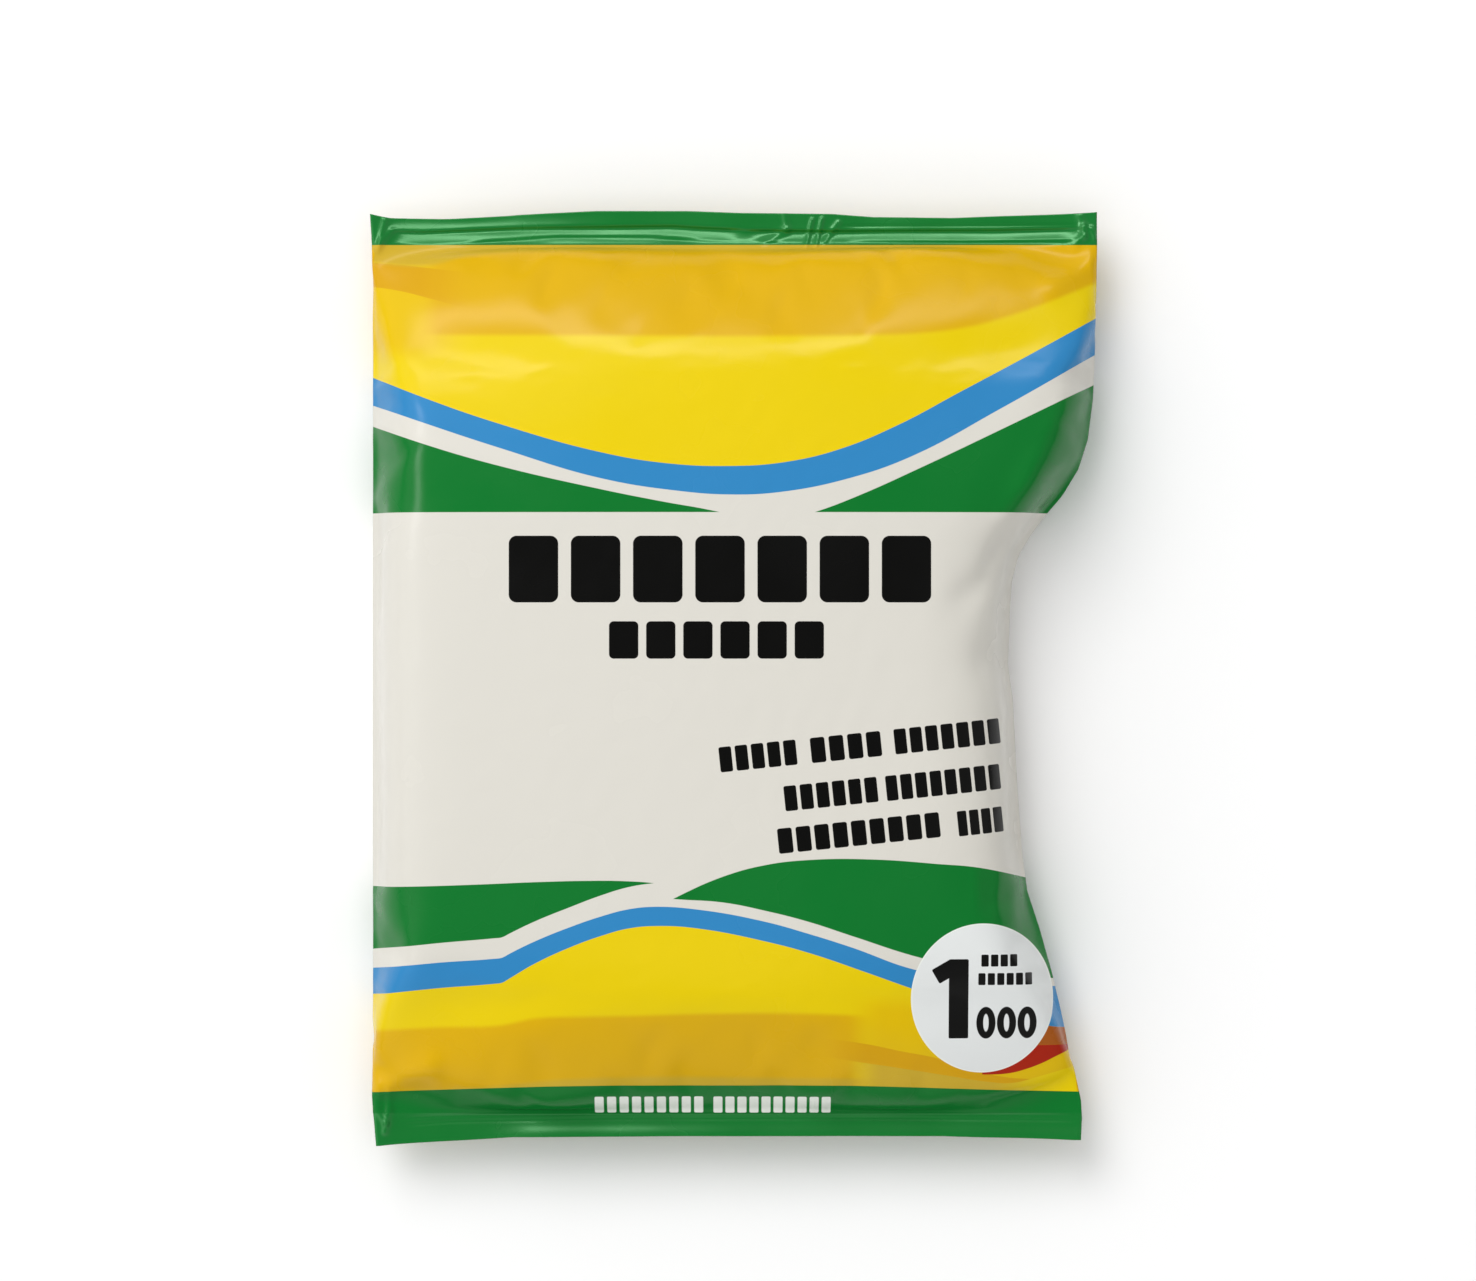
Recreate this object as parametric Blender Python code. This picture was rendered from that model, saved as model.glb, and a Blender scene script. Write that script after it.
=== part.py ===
# Pillow pouch of white cement, lying on its back
# The film tube is laid flat as two sheets, joined round the rim, and then filled:
# each point of the flat sheets is moved to its place on the full pouch.
# Metres, +Z up, the head seal towards +Y, the origin under the middle of the pouch on the floor.

import math

import bmesh
import bpy

# Driving dimensions
HEAD_SEAL_WIDTH = 0.170
FOOT_SEAL_WIDTH = 0.1656
FOOT_SEAL_SHIFT = -0.0014
POUCH_LENGTH = 0.218
POUCH_THICKNESS = 0.038
SEAL_LENGTH = 0.0077
SEAL_THICKNESS = 0.0008
SEAL_HEIGHT = 0.0148

# Waist: the filled right side draws in steeply below the head and comes out gently towards the foot
WAIST_DRAW = 0.0186
WAIST_CENTRE = 0.0182
HEAD_REACH = 0.0247
HEAD_POWER = 4.3
FOOT_REACH = 0.1037
FOOT_POWER = 7.6
END_FADE_POWER = 1.7

# Walls of the pillow: a higher power keeps a wall nearer to the rim, a higher softness eases its start
SIDE_POWER = 24
SIDE_SOFTNESS = 2.1
END_POWER = 7.1
END_SOFTNESS = 0.8
DOME_FALL = 0.20
BACK_FULLNESS = 1.06

# Back seam: the edge of the lapped fin, pressed flush with the back
FIN_EDGE = 0.012
FIN_GROOVE_HALF_WIDTH = 0.0006
FIN_GROOVE_DEPTH = 0.0006

# Printed bands, as distances from the middle of the pouch towards the head
FOOT_GREEN_TOP = -0.0960
FOOT_YELLOW_TOP = -0.0620
FOOT_BLUE_TOP = -0.0560
CREAM_TOP = 0.0400
HEAD_BLUE_TOP = 0.0480
HEAD_YELLOW_TOP = 0.0960

# Grid of each sheet
COLUMNS = 24
ROWS = 44

INKS = {
    "green_film": (0.012, 0.190, 0.036),
    "yellow_film": (0.830, 0.620, 0.006),
    "blue_film": (0.041, 0.260, 0.520),
    "cream_film": (0.740, 0.710, 0.630),
}
FILM_ROUGHNESS = 0.32
SHARP_EDGE_DEGREES = 50


def clear_scene():
    for item in list(bpy.data.objects):
        bpy.data.objects.remove(item)


def film_material(name, colour):
    material = bpy.data.materials.new(name)
    material.use_nodes = True
    shader = material.node_tree.nodes["Principled BSDF"]
    shader.inputs["Base Color"].default_value = (*colour, 1.0)
    shader.inputs["Roughness"].default_value = FILM_ROUGHNESS
    shader.inputs["Metallic"].default_value = 0.0
    return material


def seal_line():
    """Distance from the middle of the pouch to the inner edge of each end seal."""
    return POUCH_LENGTH / 2 - SEAL_LENGTH


def station_of(row):
    """Place of a row along the pouch: one row on each outer edge, then rows crowding towards the seals."""
    if row == 0:
        return -POUCH_LENGTH / 2
    if row == ROWS:
        return POUCH_LENGTH / 2
    share = (row - 1) / (ROWS - 2)
    return seal_line() * math.sin(math.pi * (share - 0.5))


def waist(y):
    """Share of the full waist draw at a station: 1 near the waist's centre, 0 at the pouch's two ends."""
    away = y - WAIST_CENTRE
    if away > 0:
        bell = 1 / (1 + (away / HEAD_REACH) ** HEAD_POWER)
    else:
        bell = 1 / (1 + (-away / FOOT_REACH) ** FOOT_POWER)
    return bell * (1 - abs(2 * y / POUCH_LENGTH) ** END_FADE_POWER)


def side_edges(y):
    """Left and right edge of the pouch at a station: the left one is straight."""
    towards_foot = 0.5 - y / POUCH_LENGTH
    half = (HEAD_SEAL_WIDTH + (FOOT_SEAL_WIDTH - HEAD_SEAL_WIDTH) * towards_foot) / 2
    middle = FOOT_SEAL_SHIFT * towards_foot
    return middle - half, middle + half - WAIST_DRAW * waist(y)


def wall(across, along):
    """Rise of the film from its rim: 0 along the sides and seals, and nearly 1 all over the middle."""
    side = (1 - min(abs(across), 1.0) ** SIDE_POWER) ** SIDE_SOFTNESS
    end = (1 - min(abs(along), 1.0) ** END_POWER) ** END_SOFTNESS
    return side * end


def front_height(across, y):
    """The front stands up from the rim and is gently domed, with its top over the middle."""
    rim = SEAL_HEIGHT + SEAL_THICKNESS / 2
    along = y / seal_line()
    dome = 1 - DOME_FALL * (across**2 + along**2)
    return rim + (POUCH_THICKNESS - rim) * dome * wall(across, along)


def back_height(across, y):
    """The back hangs below the rim and lies flat where the floor stops it."""
    rim = SEAL_HEIGHT - SEAL_THICKNESS / 2
    drop = SEAL_HEIGHT * BACK_FULLNESS * wall(across, y / seal_line())
    return max(0.0, rim - drop)


def column_places():
    """Places across a sheet, from -1 to 1, crowding towards the sides."""
    return [math.sin(math.pi * (column / COLUMNS - 0.5)) for column in range(COLUMNS + 1)]


def flat_sheet(mesh_builder):
    """One flat sheet of the film as a grid; its vertices keep their grid places in x and y."""
    made = bmesh.ops.create_grid(mesh_builder, x_segments=COLUMNS, y_segments=ROWS, size=1.0)
    return made["verts"]


def border_of(vertices):
    """Edges that bound the sheet of these vertices."""
    edges = {edge for vertex in vertices for edge in vertex.link_edges}
    return [edge for edge in edges if edge.is_boundary]


def fill_sheet(vertices, height_of):
    """Moves a flat sheet's vertices to their places on the full pouch."""
    places = column_places()
    for vertex in vertices:
        column = round((vertex.co.x + 1) / 2 * COLUMNS)
        row = round((vertex.co.y + 1) / 2 * ROWS)
        y = station_of(row)
        left, right = side_edges(y)
        across = places[column]
        x = (left + right) / 2 + across * (right - left) / 2
        vertex.co = (x, y, height_of(across, y))


def paint_bands(mesh):
    """Gives each face the ink of the band that its centre lies in."""
    for ink, colour in INKS.items():
        mesh.materials.append(film_material(ink, colour))
    green, yellow, blue, cream = range(len(INKS))
    bands = [
        (FOOT_GREEN_TOP, green),
        (FOOT_YELLOW_TOP, yellow),
        (FOOT_BLUE_TOP, blue),
        (CREAM_TOP, cream),
        (HEAD_BLUE_TOP, blue),
        (HEAD_YELLOW_TOP, yellow),
        (POUCH_LENGTH, green),
    ]
    for face in mesh.polygons:
        y = face.center.y
        face.material_index = next(ink for top, ink in bands if y < top)


def make_pouch(collection):
    builder = bmesh.new()
    front = flat_sheet(builder)
    back = flat_sheet(builder)
    bmesh.ops.reverse_faces(builder, faces=list({face for vertex in back for face in vertex.link_faces}))
    rim = border_of(front) + border_of(back)
    fill_sheet(front, front_height)
    fill_sheet(back, back_height)
    bmesh.ops.bridge_loops(builder, edges=rim)
    bmesh.ops.recalc_face_normals(builder, faces=builder.faces)
    mesh = bpy.data.meshes.new("pouch")
    builder.to_mesh(mesh)
    builder.free()
    mesh.shade_smooth()
    mesh.set_sharp_from_angle(angle=math.radians(SHARP_EDGE_DEGREES))
    paint_bands(mesh)
    pouch = bpy.data.objects.new("pouch", mesh)
    collection.objects.link(pouch)
    return pouch


def make_fin_groove(pouch, cutters):
    """A shallow V groove down the back marks the free edge of the lapped fin seam."""
    bpy.ops.mesh.primitive_cylinder_add(
        vertices=4,
        radius=FIN_GROOVE_DEPTH,
        depth=2 * seal_line(),
        location=(FIN_EDGE, 0, 0),
        rotation=(math.pi / 2, 0, 0),
    )
    groove = bpy.context.active_object
    groove.name = "fin_groove_cutter"
    groove.scale.x = FIN_GROOVE_HALF_WIDTH / FIN_GROOVE_DEPTH
    for owner in list(groove.users_collection):
        owner.objects.unlink(groove)
    cutters.objects.link(groove)
    groove.hide_render = True
    groove.display_type = "WIRE"
    cut = pouch.modifiers.new("fin_groove", "BOOLEAN")
    cut.operation = "DIFFERENCE"
    cut.object = groove


def main():
    clear_scene()
    parts = bpy.data.collections.new("cement_pouch")
    cutters = bpy.data.collections.new("cutters")
    bpy.context.scene.collection.children.link(parts)
    bpy.context.scene.collection.children.link(cutters)
    pouch = make_pouch(parts)
    make_fin_groove(pouch, cutters)


main()
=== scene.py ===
# %% [markdown]
# # A pillow pouch of white cement, lying on its back
#
# The part is a one-kilogram pouch of cement powder in printed plastic film. A machine makes it from one
# flat tube of film: the tube is welded across its foot, filled, and welded across its head. So this script
# does the same. It lays a flat tube out on a grid, blows it up as a simulated cloth until it holds the
# powder's volume, sets it down on the floor, and prints it with colours worked out in shader nodes.

# %% Load the fixed frame
import math

import bpy
import numpy as np
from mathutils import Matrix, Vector


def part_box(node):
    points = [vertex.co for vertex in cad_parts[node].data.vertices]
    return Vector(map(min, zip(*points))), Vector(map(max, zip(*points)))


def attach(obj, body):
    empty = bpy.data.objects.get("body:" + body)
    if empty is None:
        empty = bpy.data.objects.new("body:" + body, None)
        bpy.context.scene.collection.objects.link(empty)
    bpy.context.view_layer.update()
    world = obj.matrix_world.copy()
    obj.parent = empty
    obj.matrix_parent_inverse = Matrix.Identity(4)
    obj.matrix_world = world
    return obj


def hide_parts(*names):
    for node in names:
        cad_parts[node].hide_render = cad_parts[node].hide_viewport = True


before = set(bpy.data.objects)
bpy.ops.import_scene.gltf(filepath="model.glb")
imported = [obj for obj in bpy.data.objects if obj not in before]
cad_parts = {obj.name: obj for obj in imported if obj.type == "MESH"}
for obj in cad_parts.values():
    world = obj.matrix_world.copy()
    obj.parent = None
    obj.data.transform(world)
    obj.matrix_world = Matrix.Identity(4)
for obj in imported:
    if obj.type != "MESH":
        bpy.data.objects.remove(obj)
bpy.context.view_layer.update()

# %% [markdown]
# ## The film's own sizes
#
# The solid gives the size of the full pouch. The film is measured flat: at the two end seals the tube stays
# flat when it is full, so its flat width is the pouch's width. Along the pouch some length goes into the
# bulge, so the flat tube is longer than the full pouch. Each weld lies a seal's length in from a cut end.

# %% Sizes of the flat tube
LOW, HIGH = (np.array(corner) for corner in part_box("pouch"))
WIDTH, LENGTH, THICKNESS = HIGH - LOW
MIDDLE = (LOW + HIGH) / 2
BULGE_STRETCH = 1.055
FLAT_WIDTH = WIDTH
FLAT_LENGTH = BULGE_STRETCH * LENGTH
HALF_WIDTH, HALF_LENGTH = FLAT_WIDTH / 2, FLAT_LENGTH / 2
SEAL_LENGTH = 0.0065
WELD_PLACE = HALF_LENGTH - SEAL_LENGTH
FILM_PAIR = 0.0005
MM = 0.001
print(f"flat tube {FLAT_WIDTH / MM:.0f} x {FLAT_LENGTH / MM:.0f} mm")

# %% [markdown]
# ## From the photograph's pixels to the pouch
#
# The photograph looks straight down on the pouch, so a pixel is a place on it. The head seal is 728 pixels
# across, which gives the scale. The middle of the pouch's box lies at a pixel of its own, and the picture's
# rows run down while the pouch's Y runs up.

# %% Pixels to metres
PICTURE_SIZE = (1476, 1281)
HEAD_SEAL_PX = 728
POUCH_MIDDLE_PX = (733.5, 679.0)
PIXEL = WIDTH / HEAD_SEAL_PX


def place_of(pixels):
    """Places on the pouch of (column, row) pixels: their offsets from the middle pixel, times the scale."""
    offsets = (np.asarray(pixels, dtype=float) - POUCH_MIDDLE_PX) * (PIXEL, -PIXEL)
    return offsets + MIDDLE[:2]


PICTURE_MIDDLE = place_of(np.array(PICTURE_SIZE) / 2)
print(f"one pixel is {PIXEL / MM:.4f} mm")

# %% [markdown]
# ## The camera
#
# The camera hangs high above the picture's middle with a long lens, so the pouch shows hardly any
# perspective.

# %% Camera
CAMERA_HEIGHT = 2.0
SEAL_PLANE = 0.0148
SENSOR = 0.036


def linked(name, data):
    """An object of this data, linked into the scene."""
    thing = bpy.data.objects.new(name, data)
    bpy.context.scene.collection.objects.link(thing)
    return thing


def make_camera():
    """A camera that looks straight down and frames the picture's width at the height of the seals."""
    data = bpy.data.cameras.new("camera")
    data.sensor_width = SENSOR / MM
    data.lens = SENSOR / MM * CAMERA_HEIGHT / (PICTURE_SIZE[0] * PIXEL)
    camera = linked("camera", data)
    camera.location = (*PICTURE_MIDDLE, SEAL_PLANE + CAMERA_HEIGHT)
    bpy.context.scene.camera = camera
    return camera


print(f"the camera's lens is {make_camera().data.lens:.0f} mm long")

# %% [markdown]
# ## The floor
#
# The pouch lies on plain white paper. A surface is made from an array of corners and a list of faces, and
# the pouch's film will be made by the same helper.

# %% Floor
FLOOR_HALF = 1.5
PAPER_WHITE = 0.98
PAPER_ROUGHNESS = 0.9


def new_object(name, vertices, faces):
    """A mesh object at the origin from an array of vertices and a list of faces."""
    mesh = bpy.data.meshes.new(name)
    mesh.from_pydata(np.asarray(vertices).tolist(), [], faces)
    return linked(name, mesh)


def make_floor():
    """A square of white paper with the pouch in its middle."""
    corners = [(-1, -1, 0), (1, -1, 0), (1, 1, 0), (-1, 1, 0)]
    floor = new_object("floor", np.array(corners) * FLOOR_HALF, [(0, 1, 2, 3)])
    paper = bpy.data.materials.new("white_floor")
    paper.use_nodes = True
    shader = paper.node_tree.nodes["Principled BSDF"]
    shader.inputs["Base Color"].default_value = (PAPER_WHITE, PAPER_WHITE, PAPER_WHITE, 1.0)
    shader.inputs["Roughness"].default_value = PAPER_ROUGHNESS
    shader.inputs["Specular IOR Level"].default_value = 0.0
    floor.data.materials.append(paper)


make_floor()
print(f"the floor is {2 * FLOOR_HALF:.0f} m wide")

# %% [markdown]
# ## Node helpers
#
# The sky and the print are patterns in shader nodes, and such a pattern is arithmetic on sockets. These
# helpers add one node each and return its output, so that the patterns below read like formulas.

# %% Node helpers


def feed(tree, socket, value):
    """Links a socket to a value that is an output, and stores it otherwise."""
    if isinstance(value, bpy.types.NodeSocket):
        tree.links.new(value, socket)
    else:
        socket.default_value = value


def maths(tree, operation, *values):
    """One operation on numbers."""
    node = tree.nodes.new("ShaderNodeMath")
    node.operation = operation
    for socket, value in zip(node.inputs, values):
        feed(tree, socket, value)
    return node.outputs["Value"]


def vector_maths(tree, operation, *values):
    """One operation on places. A length and a dot product come out as a number."""
    node = tree.nodes.new("ShaderNodeVectorMath")
    node.operation = operation
    for socket, value in zip(node.inputs, values):
        feed(tree, socket, value)
    return node.outputs["Value" if operation in ("LENGTH", "DOT_PRODUCT") else "Vector"]


def part_of(tree, place, axis):
    """A place's X, Y or Z."""
    node = tree.nodes.new("ShaderNodeSeparateXYZ")
    feed(tree, node.inputs["Vector"], place)
    return node.outputs[axis]


def ramp(tree, value, start, end):
    """0 up to start, 1 from end on, and a smooth step between. Start may lie above end."""
    node = tree.nodes.new("ShaderNodeMapRange")
    node.interpolation_type = "SMOOTHSTEP"
    feed(tree, node.inputs["Value"], value)
    if start < end:
        bounds = (start, end, 0.0, 1.0)
    else:
        bounds = (end, start, 1.0, 0.0)
    for name, bound in zip(("From Min", "From Max", "To Min", "To Max"), bounds):
        node.inputs[name].default_value = bound
    return node.outputs["Result"]


# %% [markdown]
# ## Light
#
# A soft key light from the upper left throws the pouch's shadow down and to the right, and a fill light
# overhead evens it out. Both are hidden from glossy rays, as polarising filters on lamp and lens hide them
# in a studio, so they don't veil the print. Two lights are there for the gloss alone, as thin bright tubes
# are that light hardly anything else: a long strip beyond the head draws the highlights in the folds of the
# seals, and a small light at the left picks out the creases. The sky is bright all round but dark overhead,
# where the camera is, so that the flat top of the film keeps its deep colours, and dark at the horizon, so
# that steep folds show as dark lines. It is brightest at the left and dims towards the right.

# %% Light
# place, size in metres and power in watts of each light
KEY = ((-0.75, 1.15, 1.75), (1.3, 1.3), 22.0)
FILL = ((0.0, 0.0, 2.6), (2.0, 2.0), 18.0)
HEAD_STRIP = ((-0.3, 2.0, 2.1), (3.2, 0.5), 32.0)
LEFT_LIGHT = ((-2.2, 0.6, 2.0), (0.6, 0.6), 10.0)
ZENITH_GLOW = 0.10
SIDE_GLOW = 0.95
SIDE_SLANT = (-0.43, -0.04, 0.0)
ZENITH_POWER = 2.4
HORIZON_REACH = 0.35


def make_soft_light(name, place, size, power):
    """A rectangular area light that looks at the pouch."""
    data = bpy.data.lights.new(name, "AREA")
    data.shape = "RECTANGLE"
    data.size, data.size_y = size
    data.energy = power
    light = linked(name, data)
    light.location = place
    light.rotation_euler = (-Vector(place)).to_track_quat("-Z", "Y").to_euler()
    return light


def make_sky():
    """The side's glow, slanted and dim near the horizon, fades to the zenith's by a power of the height."""
    world = bpy.data.worlds.new("studio")
    bpy.context.scene.world = world
    world.use_nodes = True
    tree = world.node_tree
    direction = tree.nodes.new("ShaderNodeTexCoord").outputs["Generated"]
    height = part_of(tree, direction, "Z")
    side = maths(tree, "ADD", vector_maths(tree, "DOT_PRODUCT", direction, SIDE_SLANT), SIDE_GLOW)
    glow = tree.nodes.new("ShaderNodeMix")
    feed(tree, glow.inputs["Factor"], maths(tree, "POWER", height, ZENITH_POWER))
    feed(tree, glow.inputs["A"], maths(tree, "MULTIPLY", side, ramp(tree, height, 0.0, HORIZON_REACH)))
    feed(tree, glow.inputs["B"], ZENITH_GLOW)
    feed(tree, tree.nodes["Background"].inputs["Color"], glow.outputs["Result"])


make_soft_light("key", *KEY).visible_glossy = False
make_soft_light("fill", *FILL).visible_glossy = False
make_soft_light("head_strip", *HEAD_STRIP).visible_diffuse = False
make_soft_light("left_light", *LEFT_LIGHT).visible_diffuse = False
make_sky()
bpy.context.scene.view_settings.view_transform = "Standard"
print("lights:", [light.name for light in bpy.data.lights])

# %% [markdown]
# ## The flat tube as a cloth
#
# The tube is two sheets of the same grid, a front and a back. They share their vertices where the film is
# one: along both side folds, and in the rows of the two end seals, where the sheets are welded. A cloth
# with that mesh is a closed bag. Blender's solver is tuned to things of about a metre, so the tube is
# simulated ten times too large and scaled back.

# %% Grid of the cloth
CLOTH_COLUMNS = 81
CLOTH_ROWS = 113
CLOTH_SCALE = 10.0


def cloth_grid():
    """Places across and along the flat tube, evenly spaced, with the middle of the tube at 0."""
    across = np.linspace(-HALF_WIDTH, HALF_WIDTH, CLOTH_COLUMNS)
    along = np.linspace(-HALF_LENGTH, HALF_LENGTH, CLOTH_ROWS)
    return np.meshgrid(across, along, indexing="ij")


def in_seal(along):
    """True where a place along the tube lies in one of its end seals."""
    return np.abs(along) > WELD_PLACE


def sheet_numbers(apart):
    """Vertex numbers of two sheets. The back has its own where they are apart, but not on the side folds."""
    own = apart.copy()
    own[0] = own[-1] = False
    front = np.arange(own.size).reshape(own.shape)
    back = front.copy()
    back[own] = own.size + np.arange(own.sum())
    return front, back, own


def quads_of(numbers, turned=False):
    """The four corners of each grid cell, running counter-clockwise, or clockwise when turned."""
    corners = [numbers[:-1, :-1], numbers[1:, :-1], numbers[1:, 1:], numbers[:-1, 1:]]
    quads = np.stack(corners, axis=-1).reshape(-1, 4)
    return quads[:, ::-1] if turned else quads


print(f"the cloth's cells are {FLAT_WIDTH / (CLOTH_COLUMNS - 1) / MM:.1f} mm wide")

# %% [markdown]
# ## Filling it
#
# The powder isn't a gas, but a gas pressed in until it has the powder's volume gives the film the same
# shape: sides that draw in, rounded shoulders, and creases that run from the seals. The cloth gets little
# stiffness against squeezing and bending, because thin film crumples freely, and much against stretching.
# It starts a little bulged and a little rough, so that there is a volume to fill and nothing is quite even.

# %% Cloth simulation
FILL_VOLUME = 0.00092
CLOTH_FRAMES = 24
START_BULGE = 0.002
BULGE_REACH_ACROSS = 0.02
BULGE_REACH_ALONG = 0.03
START_ROUGHNESS = 0.00005
ROUGHNESS_SEED = 3


def add_cloth(tube, filled):
    """Sets the tube's cloth: stiff in tension, limp in bending, and blown up to the powder's volume."""
    tube.vertex_groups.new(name="filled").add(filled.tolist(), 1.0, "REPLACE")
    cloth = tube.modifiers.new("film", "CLOTH")
    film = cloth.settings
    film.quality = 8
    film.mass = 0.3
    film.tension_stiffness = 40
    film.compression_stiffness = 5
    film.shear_stiffness = 40
    film.bending_stiffness = 1.0
    film.tension_damping = 5
    film.compression_damping = 5
    film.shear_damping = 5
    film.bending_damping = 0.5
    film.air_damping = 8
    film.use_pressure = True
    film.uniform_pressure_force = 0
    film.use_pressure_volume = True
    film.target_volume = FILL_VOLUME * CLOTH_SCALE**3
    film.pressure_factor = 2
    film.vertex_group_pressure = "filled"
    film.effector_weights.gravity = 0
    cloth.collision_settings.use_collision = False
    cloth.point_cache.frame_start = 1
    cloth.point_cache.frame_end = CLOTH_FRAMES


def settled_places(tube, count):
    """Steps through the frames and reads where the cloth's vertices end."""
    scene = bpy.context.scene
    for step in range(1, CLOTH_FRAMES + 1):
        scene.frame_set(step)
    full = tube.evaluated_get(bpy.context.evaluated_depsgraph_get())
    places = np.empty(count * 3, dtype=np.float32)
    full.data.vertices.foreach_get("co", places)
    scene.frame_set(1)
    return places.reshape(-1, 3).astype(float) / CLOTH_SCALE


def fill_tube():
    """Front and back sheets of the filled tube, as arrays of places, shape (columns, rows, 3)."""
    across, along = cloth_grid()
    front, back, own = sheet_numbers(~in_seal(along))
    bulge = np.clip((WELD_PLACE - np.abs(along)) / BULGE_REACH_ALONG, 0, 1)
    bulge = bulge * np.clip((HALF_WIDTH - np.abs(across)) / BULGE_REACH_ACROSS, 0, 1)
    random = np.random.default_rng(ROUGHNESS_SEED)
    rough = START_ROUGHNESS * random.standard_normal((2, *across.shape)) * ~in_seal(along)
    upper = np.stack([across, along, START_BULGE * bulge + rough[0]], axis=-1)
    lower = np.stack([across, along, rough[1] - START_BULGE * bulge], axis=-1)
    vertices = np.concatenate([upper.reshape(-1, 3), lower[own]]) * CLOTH_SCALE
    welded = in_seal((along[:, :-1] + along[:, 1:]) / 2)[:-1].reshape(-1)
    faces = np.concatenate([quads_of(front), quads_of(back, turned=True)[~welded]])
    tube = new_object("flat_tube", vertices, faces.tolist())
    in_body = np.unique(np.concatenate([front[~in_seal(along)], back[own]]))
    add_cloth(tube, in_body)
    places = settled_places(tube, len(vertices))
    bpy.data.meshes.remove(tube.data)
    return places[front], places[back]


front_sheet, back_sheet = fill_tube()
for name, sheet in (("front", front_sheet), ("back", back_sheet)):
    print(name, "sheet spans", np.ptp(sheet, axis=(0, 1)).round(4))

# %% [markdown]
# ## A finer grid
#
# The cloth's cells are about 2 mm wide, which is too coarse for the folds and creases in the seals. A
# uniform cubic B-spline through the cloth's places gives a smooth surface that can be read at any place, so
# the final grid has narrow cells where the film is folded sharply, at the seals, at the sides and at the
# creases right of the head's middle, and wide ones elsewhere.

# %% Places of the fine grid
COLUMNS = 214
ROWS = 228
# place, reach and strength of each crowd: at the two sides and the creases, and at the two seals
CROWDS_ACROSS = [(-HALF_WIDTH, 0.006, 2.2), (HALF_WIDTH, 0.006, 2.2), (0.019, 0.010, 3.5)]
CROWDS_ALONG = [(-HALF_LENGTH, 0.009, 6.0), (HALF_LENGTH, 0.009, 6.0)]
CROWD_SAMPLES = 4001


def crowded(length, count, spots):
    """Places along a length, as dense as one plus a bell curve at each spot, of its reach and strength."""
    samples = np.linspace(-length / 2, length / 2, CROWD_SAMPLES)
    crowd = np.ones_like(samples)
    for spot, reach, strength in spots:
        crowd += strength * np.exp(-(((samples - spot) / reach) ** 2))
    share = np.cumsum(crowd) - crowd[0]
    return np.interp(np.linspace(0, 1, count), share / share[-1], samples)


fine_across = crowded(FLAT_WIDTH, COLUMNS, CROWDS_ACROSS)
fine_along = crowded(FLAT_LENGTH, ROWS, CROWDS_ALONG)
film_u, film_v = np.meshgrid(fine_across, fine_along, indexing="ij")
for direction, places in (("wide", fine_across), ("long", fine_along)):
    cells = np.diff(places) / MM
    print(f"cells are {cells.min():.2f} to {cells.max():.2f} mm {direction}")

# %% [markdown]
# A spline surface on a grid is read with two plain matrices of weights, one for each direction, and two
# matrix products do the whole sheet at once.

# %% Spline surface


def spline_weights(knots, places):
    """Matrix that reads a uniform cubic B-spline of so many knots at places from 0 to 1.

    Between two knots a place takes the four nearest knots by the four cubic weights, which add up to 1.
    A knot beyond an end is mirrored through it: twice the end's own less the one inside it.
    """
    position = np.clip(places, 0, 1) * (knots - 1)
    start = np.minimum(position.astype(int), knots - 2)
    t = position - start
    weights = np.stack([(1 - t) ** 3, 3 * t**3 - 6 * t**2 + 4, -3 * t**3 + 3 * t**2 + 3 * t + 1, t**3]) / 6
    wide = np.zeros((len(places), knots + 2))
    rows = np.arange(len(places))
    for offset in range(4):
        wide[rows, start + offset] += weights[offset]
    matrix = wide[:, 1:-1].copy()
    matrix[:, 0] += 2 * wide[:, 0]
    matrix[:, 1] -= wide[:, 0]
    matrix[:, -1] += 2 * wide[:, -1]
    matrix[:, -2] -= wide[:, -1]
    return matrix


read_across = spline_weights(CLOTH_COLUMNS, fine_across / FLAT_WIDTH + 0.5)
read_along = spline_weights(CLOTH_ROWS, fine_along / FLAT_LENGTH + 0.5)


def refined(sheet):
    """Reads the spline surface of a sheet at every place of the fine grid."""
    columns = np.tensordot(read_across, sheet, axes=1)
    return np.tensordot(columns, read_along, axes=(1, 1)).transpose(0, 2, 1)


# %% [markdown]
# The gas gathers the cloth in small scallops along both welds. Powder in a real pouch smooths most of them
# out, so beside the welds the cloth's heights and lengths are replaced by their own smooth course along the
# strip. The further from the weld, the more of the gathers stay.

# %% Gathers beside the welds
GATHER_SMOOTHING = 9
GATHER_REACH = 0.010


def blurred(values, reach):
    """Smooths a row of values: the mean over a bell-shaped window, with the ends mirrored through."""
    offsets = np.arange(-3 * reach, 3 * reach + 1)
    bell = np.exp(-0.5 * (offsets / reach) ** 2)
    padded = np.pad(values, 3 * reach, mode="reflect", reflect_type="odd")
    return np.convolve(padded, bell / bell.sum(), mode="valid")


def calmed(sheet):
    """Mixes in the smoothed places by a bell curve of the distance from the weld."""
    along = cloth_grid()[1]
    from_weld = np.clip(WELD_PLACE - np.abs(along), 0, None)
    share = np.exp(-((from_weld / GATHER_REACH) ** 2))[..., None]
    smooth = np.apply_along_axis(blurred, 0, sheet, GATHER_SMOOTHING)
    share = share * (0.0, 1.0, 1.0)
    return sheet + (smooth - sheet) * share


front_sheet = refined(calmed(front_sheet))
back_sheet = refined(calmed(back_sheet))
print("fine sheets have", front_sheet.shape[:2], "places each")

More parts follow.
